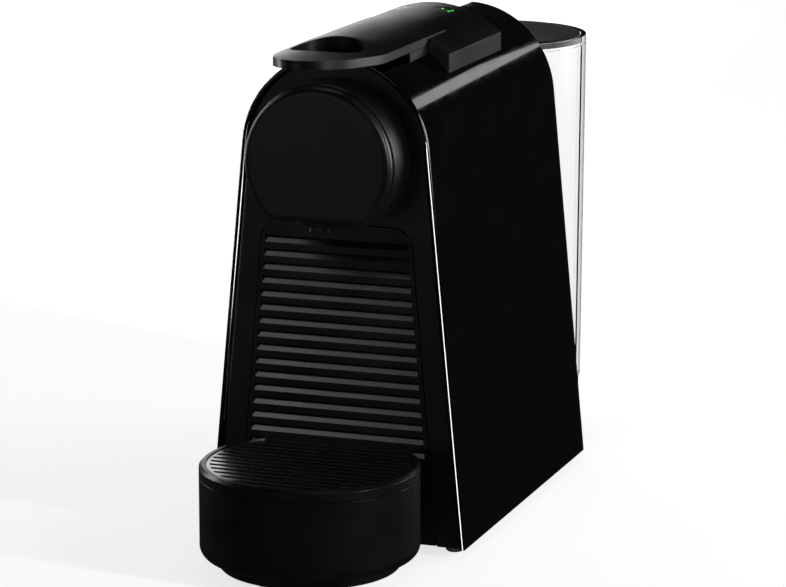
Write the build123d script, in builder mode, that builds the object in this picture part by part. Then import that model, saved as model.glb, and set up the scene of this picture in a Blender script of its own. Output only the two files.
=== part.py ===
from build123d import *
import os
from math import atan, cos, radians, sin, sqrt, tan

os.makedirs("parts", exist_ok=True)

# ---------------------------------------------------------------------------
# Driving dimensions, millimetres. Z is up, the front faces -Y, the floor is
# z = 0 and x = 0 is the plane of symmetry.
# ---------------------------------------------------------------------------
ARCH_R = 39.7  # radius of the casing's round top
ARCH_Z = 161.7  # height of that arc's centre
LEAN = atan(0.096)  # the casing's sides lean inwards
FRONT_Y, REAR_Y = -90.0, 76.0
FOOT_Z = 3.8  # lower edge of the casing
WALL = 2.5
GAP = 0.3  # running clearance between moving bodies
PANEL_T = 2.5
PANEL_FRONT_Y = FRONT_Y + 2.0  # the front panel sits back inside the rim
PANEL_REAR_Y = REAR_Y - 1.0

HEAD_Z = 160.7  # axis of the brew head and of the capsule
COLLAR_R, COLLAR_FRONT_Y = 31.4, -106.2
CAP_R, CAP_BACK_Y, CAP_FRONT_Y = 30.8, -106.5, -110.6
HEAD_FLAT_Z = 137.0  # flat cut under the round head

CROWN_R = 45.2  # raised top block, concentric with the arch
SADDLE_HALF, SADDLE_FRONT_Y, SADDLE_REAR_Y = 30.0, -37.5, 30.0
SADDLE_WALL = 1.8
NOTCH_HALF = 21.4

LEVER_HALF, LEVER_T = 21.0, 3.5
LEVER_EDGE_Z = 202.3  # height of the lever's long edges
LEVER_CROWN_R, LEVER_NOSE_R = 45.7, 96.0
LEVER_REAR_Y, LEVER_NOSE_Y = -14.3, -130.6
REAR_BOW = 1.3  # how far the rear edge curves forward at its ends
LEVER_OPEN = 85.0  # degrees
HINGE_Y, HINGE_Z = -26.5, 194.5
PIN_R = 1.75
BORE_CLEAR = 0.05

FOLLOWER_Z, FOLLOWER_R = 180.0, 2.0
FOLLOWER_SHUT_Y, CARRIAGE_TRAVEL = -56.0, 32.0
CAM_X, CAM_T = 19.4, 1.6
PLATE_X, PLATE_T = 23.2, 1.8
CAGE_R, CAGE_BORE_R = 16.8, 15.3
CAGE_FRONT_Y, CAGE_REAR_Y = -62.0, -26.0

BUTTON_X, BUTTON_Y = 11.1, 16.8
BUTTON_HALF_W, BUTTON_HALF_D = 6.6, 4.3
BUTTON_TRAVEL = 1.2

BAY_TOP_Z, BAY_R = 133.4, 8.5  # opening for the capsule container
BAY_HALF_TOP, BAY_SLOPE, BAY_SLOPE_Z = 32.4, 0.086, 125.1
RIB_TOP_Z, RIB_PITCH, RIB_COUNT, RIB_DEPTH = 127.0, 5.6, 16, 1.7
SEAM_Z = 38.1  # joint between the drip base and what stands on it

DRUM_Y, DRUM_R, DRUM_FOOT_Z = -118.4, 43.9, 5.5
PLINTH_R, PLINTH_Z = 36.2, 1.2
RING_TOP_Z, RING_BORE_R = 43.0, 41.0
SLAT_PITCH, SLAT_GAP, SLAT_TOP_Z = 5.0, 2.3, 42.6

TANK_R, TANK_REAR_Y = 38.8, 156.3
TANK_FOOT_Z, TANK_RIM_Z, TANK_WALL, TANK_DRAFT = 24.3, 182.0, 2.4, 0.4
RIM_R = TANK_R + (TANK_RIM_Z - TANK_FOOT_Z) * tan(radians(TANK_DRAFT))
TANK_Y = TANK_REAR_Y - RIM_R  # the round tank's axis
VALVE_Y = 104.0

PUMP_X, PUMP_Y = -24.0, 28.0
SUCTION_X, SUCTION_Z = -24.0, 11.0  # where the water line passes the rear panel
CONTROL_Z = 118.0  # middle of the control board on the rear panel
POST_PITCH_X, POST_PITCH_Z = 56.0, 36.0  # of the four posts that carry it

FAR = 400.0  # longer than the machine, for cuts that run right through
# The pieces are drawn with y = 0 inside the casing, then moved as one so that
# the origin is under the middle of the whole machine.
CENTRE_SHIFT_Y = -(TANK_REAR_Y + DRUM_Y - DRUM_R) / 2


def facing(y):
    """Upright plane at y, looking to the front: sketch x is X, sketch y is Z."""
    return Plane.XZ.offset(-y)


def aside(x):
    """Upright plane at x: sketch x is Y, sketch y is Z."""
    return Plane.YZ.offset(x)


def level(z):
    return Plane.XY.offset(z)


def arch_face(inset, foot_z):
    """The casing's cross-section, inset all round."""
    r = ARCH_R - inset
    side = (r * cos(LEAN), ARCH_Z + r * sin(LEAN))
    foot = ((r - (foot_z - ARCH_Z) * sin(LEAN)) / cos(LEAN), foot_z)
    with BuildSketch() as face:
        with BuildLine():
            Polyline((-side[0], side[1]), (-foot[0], foot_z), foot, side)
            ThreePointArc(side, (0, ARCH_Z + r), (-side[0], side[1]))
        make_face()
    return face.sketch


def crown_face(radius, half, floor_r):
    """Strip between the arch and a concentric crown, up to half wide."""
    with BuildSketch(Plane.XY) as face:
        with Locations((0, ARCH_Z)):
            Circle(radius)
            Circle(floor_r, mode=Mode.SUBTRACT)
        with Locations((0, ARCH_Z + radius / 2)):
            Rectangle(2 * half, radius, mode=Mode.INTERSECT)
    return face.sketch


def bay_face(inset, low_z, top_z):
    """Tapered opening that the drawer slides through."""
    half_low = BAY_HALF_TOP + BAY_SLOPE * (BAY_SLOPE_Z - low_z) - inset
    half_top = BAY_HALF_TOP + BAY_SLOPE * (BAY_SLOPE_Z - top_z) - inset
    with BuildSketch() as face:
        with BuildLine():
            Polyline(
                (-half_low, low_z), (half_low, low_z), (half_top, top_z), (-half_top, top_z), close=True
            )
        make_face()
        if top_z > BAY_SLOPE_Z:
            fillet(face.vertices().group_by(Axis.Y)[-1], BAY_R - inset)
    return face.sketch


def drum_face(radius, back_y):
    """Round drip base seen from above, cut flat at the back."""
    with BuildSketch() as face:
        with Locations((0, DRUM_Y)):
            Circle(radius)
        with Locations((0, back_y - FAR / 2)):
            Rectangle(FAR, FAR, mode=Mode.INTERSECT)
    return face.sketch


def tank_face(radius):
    """Round section of the tank and of what fits it."""
    with BuildSketch() as face:
        with Locations((0, TANK_Y)):
            Circle(radius)
    return face.sketch


def seat_face(radius, front_y, corner):
    """D shape with the round end at the rear."""
    with BuildSketch() as face:
        with Locations((0, (front_y + TANK_Y) / 2)):
            Rectangle(2 * radius, TANK_Y - front_y)
        fillet(face.vertices().group_by(Axis.Y)[0], corner)
        with Locations((0, TANK_Y)):
            Circle(radius)
    return face.sketch


def lens_face(grow):
    """Almond shape of the buttons, pointed at both ends."""
    half_w, half_d = BUTTON_HALF_W + grow, BUTTON_HALF_D + grow
    with BuildSketch() as face:
        with BuildLine():
            ThreePointArc((-half_w, 0), (0, half_d), (half_w, 0))
            ThreePointArc((half_w, 0), (0, -half_d), (-half_w, 0))
        make_face()
    return face.sketch


def lever_rise(radius):
    """Height of a crowned lever section's centre of curvature."""
    return LEVER_EDGE_Z - sqrt(radius**2 - LEVER_HALF**2)


def lever_band(radius, depth):
    """Lever section: a crowned strip of even depth, a little wider than the lever."""
    half = LEVER_HALF + 1
    drop = lever_rise(radius) + sqrt(radius**2 - half**2)
    crest = lever_rise(radius) + radius
    with BuildSketch() as face:
        with BuildLine():
            ThreePointArc((-half, drop), (0, crest), (half, drop))
            Line((half, drop), (half, drop - depth))
            ThreePointArc((half, drop - depth), (0, crest - depth), (-half, drop - depth))
            Line((-half, drop - depth), (-half, drop))
        make_face()
    return face.sketch


def cam_point(turn):
    """Where the follower stands in the lever's own frame after the lever has turned."""
    y = FOLLOWER_SHUT_Y + CARRIAGE_TRAVEL * turn / LEVER_OPEN - HINGE_Y
    z = FOLLOWER_Z - HINGE_Z
    a = radians(turn)
    return (HINGE_Y + y * cos(a) - z * sin(a), HINGE_Z + y * sin(a) + z * cos(a))


def tube(points, bend, radius):
    """Round tube along straight runs joined by arcs."""
    with BuildPart() as pipe:
        with BuildLine() as route:
            FilletPolyline(*points, radius=bend)
        with BuildSketch(Plane(origin=route.line @ 0, z_dir=route.line % 0)):
            Circle(radius)
        sweep()
    return pipe.part


def save(part, name):
    placed = part.moved(Location((0, CENTRE_SHIFT_Y, 0)))
    placed.label = name
    export_step(placed, f"parts/{name}.step")


# ---------------------------------------------------------------------------
# Casing
# ---------------------------------------------------------------------------
SLOT_FRONT_Y = -66.0  # where the capsule slot under the lever begins
RIM_ROUND, REAR_ROUND = 1.1, 0.6
SADDLE_BAY_HALF = 26.5

with BuildPart() as outer_casing:
    with BuildSketch(facing(REAR_Y)):
        add(arch_face(0, FOOT_Z))
        add(arch_face(WALL, FOOT_Z), mode=Mode.SUBTRACT)
    extrude(amount=REAR_Y - FRONT_Y)
    for end, radius in ((0, RIM_ROUND), (-1, REAR_ROUND)):
        rim = outer_casing.faces().sort_by(Axis.Y)[end]
        fillet(rim.edges().filter_by(Axis.X, reverse=True), radius)
    for half, low_y, high_y in (
        (NOTCH_HALF - 0.1, SLOT_FRONT_Y, SADDLE_FRONT_Y + 2),
        (SADDLE_BAY_HALF, SADDLE_FRONT_Y + 2, SADDLE_REAR_Y - 4),
    ):
        with BuildSketch(level(ARCH_Z + 20)):
            with Locations((0, (low_y + high_y) / 2)):
                Rectangle(2 * half, high_y - low_y)
        extrude(amount=FAR, mode=Mode.SUBTRACT)
save(outer_casing.part, "outer_casing")

HEAD_HOLE_R = 25.5
with BuildPart() as front_panel:
    with BuildSketch(facing(PANEL_FRONT_Y + PANEL_T)):
        add(arch_face(WALL + 0.1, FOOT_Z))
        add(bay_face(0, FOOT_Z - 1, BAY_TOP_Z), mode=Mode.SUBTRACT)
        with Locations((0, HEAD_Z)):
            Circle(HEAD_HOLE_R, mode=Mode.SUBTRACT)
    extrude(amount=PANEL_T)
save(front_panel.part, "front_panel")

GLAND_X, GLAND_Z, GLAND_R, CORD_R = 44.5, 14.0, 5.0, 3.4
SUCTION_HOLE_R = 4.5
POST_R, POST_H = 2.5, 4.5
with BuildPart() as rear_panel:
    with BuildSketch(facing(PANEL_REAR_Y)):
        add(arch_face(WALL + 0.1, FOOT_Z))
        with Locations((GLAND_X, GLAND_Z)):
            Circle(GLAND_R, mode=Mode.SUBTRACT)
        with Locations((SUCTION_X, SUCTION_Z)):
            Circle(SUCTION_HOLE_R, mode=Mode.SUBTRACT)
    extrude(amount=PANEL_T)
    with BuildSketch(facing(PANEL_REAR_Y - PANEL_T)):
        with Locations((0, CONTROL_Z)):
            with GridLocations(POST_PITCH_X, POST_PITCH_Z, 2, 2):
                Circle(POST_R)
    extrude(amount=POST_H)
save(rear_panel.part, "rear_panel")

GLAND_LIP, GLAND_LIP_T, GLAND_LENGTH = 1.2, 1.9, 6.0
with BuildPart() as cord_gland:
    with BuildSketch(facing(PANEL_REAR_Y + 0.1 + GLAND_LIP_T)):
        with Locations((GLAND_X, GLAND_Z)):
            Circle(GLAND_R + GLAND_LIP)
    extrude(amount=GLAND_LIP_T)
    with BuildSketch(facing(PANEL_REAR_Y + 0.1)):
        with Locations((GLAND_X, GLAND_Z)):
            Circle(GLAND_R - 0.1)
    extrude(amount=GLAND_LENGTH)
    with BuildSketch(facing(PANEL_REAR_Y + 0.1 + GLAND_LIP_T)):
        with Locations((GLAND_X, GLAND_Z)):
            Circle(CORD_R)
    extrude(amount=FAR, mode=Mode.SUBTRACT)
save(cord_gland.part, "cord_gland")

BAY_DEPTH_Y = -18.0  # the base plate is open for the drawer in front of this
PLATE_Z, PLATE_H = FOOT_Z + 0.1, 2.5
BASE_HALF, DRAWER_BAY_HALF = 51.0, 43.6
PUMP_BOSS_R, PUMP_BOSS_H = 10.0, 7.5
with BuildPart() as base_plate:
    with BuildSketch(level(PLATE_Z)):
        with Locations((0, (PANEL_FRONT_Y + PANEL_REAR_Y) / 2)):
            Rectangle(2 * BASE_HALF, PANEL_REAR_Y - PANEL_FRONT_Y - 2 * PANEL_T - 0.4)
        with Locations((0, BAY_DEPTH_Y - FAR / 2)):
            Rectangle(2 * DRAWER_BAY_HALF, FAR, mode=Mode.SUBTRACT)
    extrude(amount=PLATE_H)
    with BuildSketch(level(PLATE_Z + PLATE_H)):
        with Locations((PUMP_X, PUMP_Y)):
            Circle(PUMP_BOSS_R)
    extrude(amount=PUMP_BOSS_H)
save(base_plate.part, "base_plate")

FOOT_R, TANK_FOOT_R, FOOT_CHAMFER = 3.6, 7.2, 0.6
BODY_FEET = ((-47, -78), (47, -78), (-47, 62), (47, 62))
TANK_FEET = ((-20, 142), (20, 142))
with BuildPart() as rubber_feet:
    with BuildSketch(level(0)):
        with Locations(*BODY_FEET):
            Circle(FOOT_R)
        with Locations(*TANK_FEET):
            Circle(TANK_FOOT_R)
    extrude(amount=FOOT_Z - 0.02)
    chamfer(rubber_feet.faces().group_by(Axis.Z)[0].edges(), FOOT_CHAMFER)
save(rubber_feet.part, "rubber_feet")

# ---------------------------------------------------------------------------
# Raised top block with the notch that the lever lies in
# ---------------------------------------------------------------------------
SWEEP_GAP = 0.35
CREST_REACH = sqrt((LEVER_REAR_Y - HINGE_Y) ** 2 + (ARCH_Z + LEVER_CROWN_R - HINGE_Z) ** 2)
EDGE_REACH = sqrt((LEVER_REAR_Y - REAR_BOW - HINGE_Y) ** 2 + (LEVER_EDGE_Z - HINGE_Z) ** 2)

with BuildPart() as lever_sweep:
    # the space that the lever's rear edge swings through
    with BuildSketch(level(HINGE_Z)):
        sweep_edge_y = HINGE_Y + EDGE_REACH + SWEEP_GAP
        with BuildLine():
            ThreePointArc(
                (-NOTCH_HALF, sweep_edge_y),
                (0, HINGE_Y + CREST_REACH + SWEEP_GAP),
                (NOTCH_HALF, sweep_edge_y),
            )
            Polyline(
                (NOTCH_HALF, sweep_edge_y),
                (NOTCH_HALF, HINGE_Y),
                (-NOTCH_HALF, HINGE_Y),
                (-NOTCH_HALF, sweep_edge_y),
            )
        make_face()
    revolve(axis=Axis((0, HINGE_Y, HINGE_Z), (1, 0, 0)), revolution_arc=360)

NOTCH_WALL, SADDLE_END_WALL, SADDLE_ROUND = 1.5, 2.0, 0.7
with BuildPart() as top_saddle:
    with BuildSketch(facing(SADDLE_REAR_Y)):
        add(crown_face(CROWN_R, SADDLE_HALF, ARCH_R + 0.02))
    extrude(amount=SADDLE_REAR_Y - SADDLE_FRONT_Y)
    rims = top_saddle.edges().filter_by(Axis.Y).group_by(Axis.Z)[-1]
    fillet(rims, SADDLE_ROUND)
    with BuildSketch(facing(SADDLE_REAR_Y - SADDLE_END_WALL)):
        add(crown_face(CROWN_R - SADDLE_WALL, SADDLE_HALF - SADDLE_END_WALL, ARCH_R / 2))
    extrude(amount=SADDLE_REAR_Y - SADDLE_FRONT_Y - 2 * SADDLE_END_WALL, mode=Mode.SUBTRACT)
    with BuildSketch(facing(HINGE_Y + EDGE_REACH)):
        add(crown_face(CROWN_R - SADDLE_WALL, NOTCH_HALF + NOTCH_WALL, ARCH_R + 0.02))
    extrude(amount=HINGE_Y + EDGE_REACH - SADDLE_FRONT_Y)
    with BuildSketch(level(ARCH_Z)):
        with Locations((0, HINGE_Y - FAR / 2)):
            Rectangle(2 * NOTCH_HALF, FAR)
    extrude(amount=FAR, mode=Mode.SUBTRACT)
    add(lever_sweep.part, mode=Mode.SUBTRACT)
    with BuildSketch(aside(-SADDLE_HALF + 3)):
        with Locations((HINGE_Y, HINGE_Z)):
            Circle(PIN_R + GAP)
    extrude(amount=2 * (SADDLE_HALF - 3), mode=Mode.SUBTRACT)
    for x in (-BUTTON_X, BUTTON_X):
        with BuildSketch(level(ARCH_Z)):
            with Locations((x, BUTTON_Y)):
                add(lens_face(GAP))
        extrude(amount=FAR, mode=Mode.SUBTRACT)
save(top_saddle.part, "top_saddle")

# ---------------------------------------------------------------------------
# Lever, its cam plates and the hinge
# ---------------------------------------------------------------------------
EYE_HALF, EYE_MID_Y, EYE_REAR_Y, EYE_FRONT_Y = 14.2, -94.0, -80.5, -111.5
EYE_WALL, EYE_WALL_DEPTH, EYE_WALL_Z = 1.5, 14.0, 199.2
CASING_CLEAR = 0.8  # between the wall round the finger hole and the casing
STRAIGHT_END_Y = -86.0
NOSE_BENDS = ((18.6, -104.5), (12.9, -121))


def eye_face(grow):
    """Outline of the lever's finger hole, seen from above."""
    with BuildSketch() as face:
        with BuildLine():
            for y in (EYE_REAR_Y + grow, EYE_FRONT_Y - grow):
                ThreePointArc((-EYE_HALF - grow, EYE_MID_Y), (0, y), (EYE_HALF + grow, EYE_MID_Y))
        make_face()
    return face.sketch


# sections along the lever, which flattens towards the nose
LEVER_SECTIONS = ((-8, LEVER_CROWN_R), (-80, LEVER_CROWN_R), (-134, LEVER_NOSE_R))
with BuildPart() as eye_wall:
    for y, radius in LEVER_SECTIONS:
        with BuildSketch(facing(y)):
            add(lever_band(radius, EYE_WALL_DEPTH))
    loft(ruled=True)
    with BuildSketch(level(EYE_WALL_Z)):
        add(eye_face(EYE_WALL))
    extrude(amount=FAR, mode=Mode.INTERSECT)
    with BuildSketch(facing(FRONT_Y - CASING_CLEAR)):
        with Locations((0, ARCH_Z)):
            Circle(ARCH_R + CASING_CLEAR)
    extrude(amount=-FAR, mode=Mode.SUBTRACT)

with BuildPart() as lever:
    for y, radius in LEVER_SECTIONS:
        with BuildSketch(facing(y)):
            add(lever_band(radius, LEVER_T))
    loft(ruled=True)
    with BuildSketch(level(ARCH_Z)):
        with BuildLine():
            TangentArc((0, LEVER_REAR_Y), (LEVER_HALF, LEVER_REAR_Y - REAR_BOW), tangent=(1, 0))
            Line((LEVER_HALF, LEVER_REAR_Y - REAR_BOW), (LEVER_HALF, STRAIGHT_END_Y))
            Spline(
                (LEVER_HALF, STRAIGHT_END_Y),
                *NOSE_BENDS,
                (0, LEVER_NOSE_Y),
                tangents=((0, -1), (-1, 0)),
                tangent_scalars=(1, 1),
            )
            Line((0, LEVER_NOSE_Y), (0, LEVER_REAR_Y))
        make_face()
        mirror(about=Plane.YZ)
    extrude(amount=FAR, mode=Mode.INTERSECT)
    add(eye_wall.part)
    with BuildSketch(level(ARCH_Z)):
        add(eye_face(0))
    extrude(amount=FAR, mode=Mode.SUBTRACT)
save(lever.part, "lever")

CAM_TOP_Z = 198.7
CAM_MARGIN = 3.4  # of plate round the follower's slot
CAM_SLOT_HALF = FOLLOWER_R + 0.2
slot_path = [cam_point(LEVER_OPEN * i / 8) for i in range(9)]
slot_front_y, slot_front_z = slot_path[0]
slot_rear_y, slot_rear_z = slot_path[-1]
with BuildPart() as lever_cams:
    with BuildSketch(aside(CAM_X)):
        with BuildLine():
            Line((slot_front_y - CAM_MARGIN, CAM_TOP_Z), (slot_front_y - CAM_MARGIN, slot_front_z))
            Spline(
                (slot_front_y - CAM_MARGIN, slot_front_z),
                *[
                    (y + CAM_MARGIN * 1.2 * (y - HINGE_Y) / 20, z + CAM_MARGIN * 1.45 * (z - HINGE_Z) / 16)
                    for y, z in slot_path[1:7]
                ],
                (slot_rear_y + CAM_MARGIN, slot_rear_z),
            )
            Polyline(
                (slot_rear_y + CAM_MARGIN, slot_rear_z),
                (slot_rear_y + 2, slot_rear_z + 2.2),
                (slot_rear_y - 2, CAM_TOP_Z),
                (slot_front_y - CAM_MARGIN, CAM_TOP_Z),
            )
        make_face()
        with Locations((HINGE_Y, HINGE_Z)):
            Circle(PIN_R + BORE_CLEAR, mode=Mode.SUBTRACT)
        with BuildLine() as slot:
            Spline(*slot_path)
        trace(slot.line, 2 * CAM_SLOT_HALF, mode=Mode.SUBTRACT)
        with Locations(slot_path[0], slot_path[-1]):
            Circle(CAM_SLOT_HALF, mode=Mode.SUBTRACT)
    extrude(amount=CAM_T)
    mirror(about=Plane.YZ)
save(lever_cams.part, "lever_cams")

with BuildPart() as hinge_pin:
    with BuildSketch(aside(-PLATE_X - PLATE_T)):
        with Locations((HINGE_Y, HINGE_Z)):
            Circle(PIN_R)
    extrude(amount=2 * (PLATE_X + PLATE_T))
save(hinge_pin.part, "hinge_pin")

# ---------------------------------------------------------------------------
# Brew unit behind the head
# ---------------------------------------------------------------------------
SHUT_PIN = (FOLLOWER_SHUT_Y, FOLLOWER_Z)
PLATE_FOOT_Z, PLATE_LOW_Z, PLATE_HIGH_Z, LUG_Z = 137.5, 150.0, 186.0, 196.0
FRONT_SCREWS = ((-78, 156), (-78, 178))
SPACER_AT = (-22, 141)
SPACER_R, SCREW_R, SCREW_HEAD_R, SCREW_HEAD_T = 2.4, 1.5, 2.8, 1.6
BLOCK_REAR_Y = -66.0
PANEL_BACK_Y = PANEL_FRONT_Y + PANEL_T

with BuildPart() as brew_side_plates:
    with BuildSketch(aside(PLATE_X)):
        with BuildLine():
            Polyline(
                (PANEL_BACK_Y + 0.1, PLATE_LOW_Z),
                (HINGE_Y - 7.5, PLATE_LOW_Z),
                (HINGE_Y - 1.5, PLATE_FOOT_Z),
                (HINGE_Y + 10.5, PLATE_FOOT_Z),
                (HINGE_Y + 10.5, PLATE_HIGH_Z),
                (HINGE_Y + 6.5, LUG_Z),
                (HINGE_Y - 6.5, LUG_Z),
                (HINGE_Y - 10, PLATE_HIGH_Z),
                (PANEL_BACK_Y + 0.1, PLATE_HIGH_Z),
                close=True,
            )
        make_face()
        with Locations((HINGE_Y, HINGE_Z)):
            Circle(PIN_R, mode=Mode.SUBTRACT)
        with Locations((FOLLOWER_SHUT_Y + CARRIAGE_TRAVEL / 2, FOLLOWER_Z)):
            SlotCenterToCenter(CARRIAGE_TRAVEL, 2 * (FOLLOWER_R + 0.15), mode=Mode.SUBTRACT)
        with Locations(*FRONT_SCREWS, SPACER_AT):
            Circle(SCREW_R + 0.1, mode=Mode.SUBTRACT)
    extrude(amount=PLATE_T)
    mirror(about=Plane.YZ)
save(brew_side_plates.part, "brew_side_plates")

with BuildPart() as plate_spacer:
    with BuildSketch(aside(-PLATE_X)):
        with Locations(SPACER_AT):
            Circle(SPACER_R)
    extrude(amount=2 * PLATE_X)
save(plate_spacer.part, "plate_spacer")

with BuildPart() as frame_screws:
    with BuildSketch(aside(PLATE_X + PLATE_T)):
        with Locations(*FRONT_SCREWS, SPACER_AT):
            Circle(SCREW_HEAD_R)
    extrude(amount=SCREW_HEAD_T)
    with BuildSketch(aside(PLATE_X + 0.05)):
        with Locations(*FRONT_SCREWS, SPACER_AT):
            Circle(SCREW_R)
    extrude(amount=PLATE_T - 0.05)
    mirror(about=Plane.YZ)
save(frame_screws.part, "frame_screws")

BLOCK_R, BLOCK_SEAT_R, BLOCK_SEAT_DEPTH, BLOCK_BORE_R = 18.4, 14.5, 3.0, 3.0
BLOCK_FLANGE_R, BLOCK_FLANGE_T = 22.5, 7.9
LUG_INNER_X, LUG_H, LUG_BACK_Y = 13.0, 11.0, BLOCK_REAR_Y - 6
with BuildPart() as brew_block:
    with BuildSketch(facing(BLOCK_REAR_Y)):
        with Locations((0, HEAD_Z)):
            Circle(BLOCK_R)
    extrude(amount=BLOCK_REAR_Y - PANEL_BACK_Y - 0.1)
    with BuildSketch(facing(BLOCK_REAR_Y)):
        with Locations((0, HEAD_Z)):
            Circle(BLOCK_SEAT_R)
    extrude(amount=BLOCK_SEAT_DEPTH, mode=Mode.SUBTRACT)
    with BuildSketch(facing(PANEL_BACK_Y + 0.1 + BLOCK_FLANGE_T)):
        with Locations((0, HEAD_Z)):
            Circle(BLOCK_FLANGE_R)
            Circle(BLOCK_R - 0.1, mode=Mode.SUBTRACT)
    extrude(amount=BLOCK_FLANGE_T)
    for side in (-1, 1):
        with BuildSketch(facing(LUG_BACK_Y)):
            for _, z in FRONT_SCREWS:
                with Locations((side * (PLATE_X + LUG_INNER_X) / 2, z)):
                    Rectangle(PLATE_X - LUG_INNER_X - 0.05, LUG_H)
        extrude(amount=LUG_BACK_Y - PANEL_BACK_Y - 0.1)
    with BuildSketch(facing(FAR / 2)):
        with Locations((0, HEAD_Z)):
            Circle(BLOCK_BORE_R)
    extrude(amount=FAR, mode=Mode.SUBTRACT)
save(brew_block.part, "brew_block")

PYRAMID_T, PYRAMID_PITCH, PYRAMID_HOLE_R = 1.3, 4.0, 0.5
with BuildPart() as pyramid_plate:
    with BuildSketch(facing(BLOCK_REAR_Y - BLOCK_SEAT_DEPTH + PYRAMID_T + 0.1)):
        with Locations((0, HEAD_Z)):
            Circle(BLOCK_SEAT_R - 0.2)
            with GridLocations(PYRAMID_PITCH, PYRAMID_PITCH, 5, 5):
                Circle(PYRAMID_HOLE_R, mode=Mode.SUBTRACT)
    extrude(amount=PYRAMID_T)
save(pyramid_plate.part, "pyramid_plate")

RAIL_X, RAIL_T, RAIL_Y, RAIL_W, RAIL_FOOT_Z, RAIL_H = 17.1, 2.1, -63.2, 5.0, 152.0, 40.0
GROOVE_DEPTH, GROOVE_W = 1.6, 1.8  # for the capsule's rim
with BuildPart() as capsule_rails:
    with BuildSketch(level(RAIL_FOOT_Z)):
        with Locations((RAIL_X + RAIL_T / 2, RAIL_Y)):
            Rectangle(RAIL_T, RAIL_W)
        with Locations((RAIL_X + GROOVE_DEPTH / 2, RAIL_Y)):
            Rectangle(GROOVE_DEPTH, GROOVE_W, mode=Mode.SUBTRACT)
    extrude(amount=RAIL_H)
    mirror(about=Plane.YZ)
save(capsule_rails.part, "capsule_rails")

CAGE_DEPTH, CAGE_DRAFT, INLET_BORE_R = 28.0, 2.5, 3.3
YOKE_HALF, YOKE_EAR_HALF, YOKE_H, YOKE_T = 15.0, 19.0, 8.0, 7.6
with BuildPart() as capsule_cage:
    with BuildSketch(facing(CAGE_REAR_Y)):
        with Locations((0, HEAD_Z)):
            Circle(CAGE_R)
    extrude(amount=CAGE_REAR_Y - CAGE_FRONT_Y)
    yoke_low_z, yoke_high_z = HEAD_Z + CAGE_R - 4, FOLLOWER_Z + YOKE_H / 2
    with BuildSketch(facing(FOLLOWER_SHUT_Y + YOKE_T / 2)):
        with Locations((0, (yoke_low_z + yoke_high_z) / 2)):
            Rectangle(2 * YOKE_HALF, yoke_high_z - yoke_low_z)
        with Locations((0, FOLLOWER_Z)):
            Rectangle(2 * YOKE_EAR_HALF, YOKE_H)
    extrude(amount=YOKE_T)
    with BuildSketch(facing(CAGE_FRONT_Y)):
        with Locations((0, HEAD_Z)):
            Circle(CAGE_BORE_R)
    extrude(amount=-CAGE_DEPTH, taper=CAGE_DRAFT, mode=Mode.SUBTRACT)
    with BuildSketch(facing(CAGE_REAR_Y)):
        with Locations((0, HEAD_Z)):
            Circle(INLET_BORE_R)
    extrude(amount=FAR, mode=Mode.SUBTRACT)
    with BuildSketch(aside(-FAR / 2)):
        with Locations(SHUT_PIN):
            Circle(FOLLOWER_R)
    extrude(amount=FAR, mode=Mode.SUBTRACT)
save(capsule_cage.part, "capsule_cage")

with BuildPart() as follower_pin:
    with BuildSketch(aside(-PLATE_X - PLATE_T)):
        with Locations(SHUT_PIN):
            Circle(FOLLOWER_R)
    extrude(amount=2 * (PLATE_X + PLATE_T))
save(follower_pin.part, "follower_pin")

NEEDLE_PLATE_Y, NEEDLE_PLATE_R, NEEDLE_PLATE_T = CAGE_FRONT_Y + CAGE_DEPTH - 0.1, 13.6, 1.2
NEEDLE_RING_R, NEEDLE_R, NEEDLE_L, NEEDLE_TAPER = 7.0, 1.1, 4.5, 12.0
with BuildPart() as needle_plate:
    with BuildSketch(facing(NEEDLE_PLATE_Y)):
        with Locations((0, HEAD_Z)):
            Circle(NEEDLE_PLATE_R)
            Circle(2, mode=Mode.SUBTRACT)
    extrude(amount=NEEDLE_PLATE_T)
    with BuildSketch(facing(NEEDLE_PLATE_Y - NEEDLE_PLATE_T)):
        with Locations((0, HEAD_Z)):
            with PolarLocations(NEEDLE_RING_R, 3, start_angle=90):
                Circle(NEEDLE_R)
    extrude(amount=NEEDLE_L, taper=NEEDLE_TAPER)
save(needle_plate.part, "needle_plate")

with BuildPart() as inlet_elbow:
    with BuildSketch(facing(CAGE_REAR_Y + 5)):
        with Locations((0, HEAD_Z)):
            Circle(2.4)
    extrude(amount=9)
    with BuildSketch(facing(CAGE_REAR_Y + 2)):
        with Locations((0, HEAD_Z)):
            Circle(4.2)
    extrude(amount=1.9)
    with BuildSketch(facing(FAR / 2)):
        with Locations((0, HEAD_Z)):
            Circle(1.2)
    extrude(amount=FAR, mode=Mode.SUBTRACT)
save(inlet_elbow.part, "inlet_elbow")

CHUTE_HALF, CHUTE_FRONT_Y, CHUTE_REAR_Y, CHUTE_WALL = 21.4, -64.0, -30.0, 1.6
CHUTE_FOOT_Z, CHUTE_H = 126.5, 15.0
BRACKET_Z, BRACKET_W, BRACKET_T = 134.5, 30.0, 2.0
with BuildPart() as capsule_chute:
    for grow, mode in ((CHUTE_WALL, Mode.ADD), (0, Mode.SUBTRACT)):
        with BuildSketch(level(CHUTE_FOOT_Z)):
            with Locations((0, (CHUTE_FRONT_Y + CHUTE_REAR_Y) / 2)):
                Rectangle(2 * (CHUTE_HALF + grow), CHUTE_REAR_Y - CHUTE_FRONT_Y + 2 * grow)
        extrude(amount=CHUTE_H, mode=mode)
    with BuildSketch(level(BRACKET_Z)):
        with Locations((0, (PANEL_BACK_Y + CHUTE_FRONT_Y) / 2 - 0.4)):
            Rectangle(BRACKET_W, CHUTE_FRONT_Y - PANEL_BACK_Y - 1)
    extrude(amount=BRACKET_T)
save(capsule_chute.part, "capsule_chute")

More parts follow.
